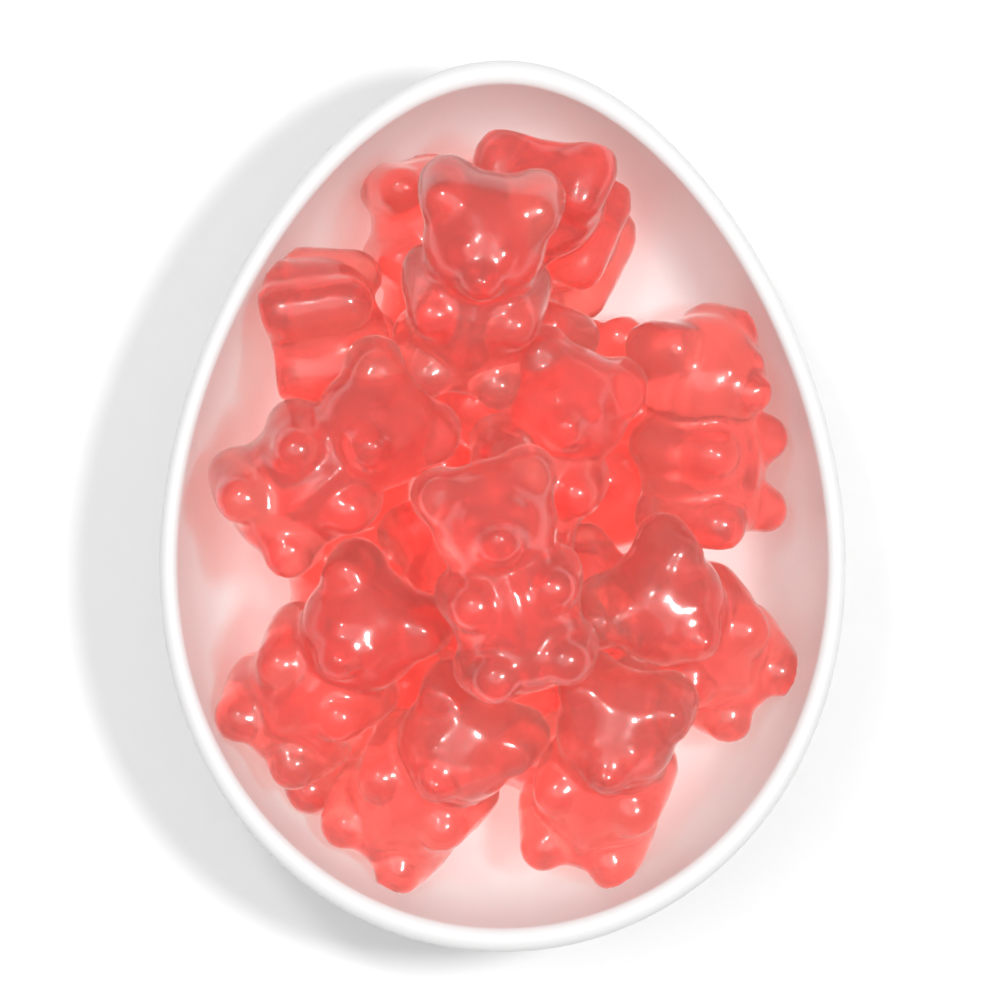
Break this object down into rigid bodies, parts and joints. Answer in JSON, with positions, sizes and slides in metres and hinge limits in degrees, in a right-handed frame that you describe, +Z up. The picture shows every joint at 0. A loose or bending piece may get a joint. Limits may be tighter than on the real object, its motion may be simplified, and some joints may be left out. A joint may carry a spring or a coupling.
{
  "type": "dish of gummy bears",
  "caption": "Small egg-shaped white dish with a loose heap of translucent red jelly bears standing above its rim.",
  "frame": {"origin": "middle of the dish's outline, on the surface that the dish stands on", "axes": "+Z up, +Y along the dish's length towards its pointed end, +X to the right seen from above"},
  "size_m": [0.0564, 0.0732, 0.0336],
  "materials": {
    "porcelain": "satin white glaze",
    "jelly": "translucent red fruit jelly with a satin skin"
  },
  "bodies": {
    "root": {"dish": "porcelain", "gummy_heap": "jelly"}
  },
  "joints": []
}
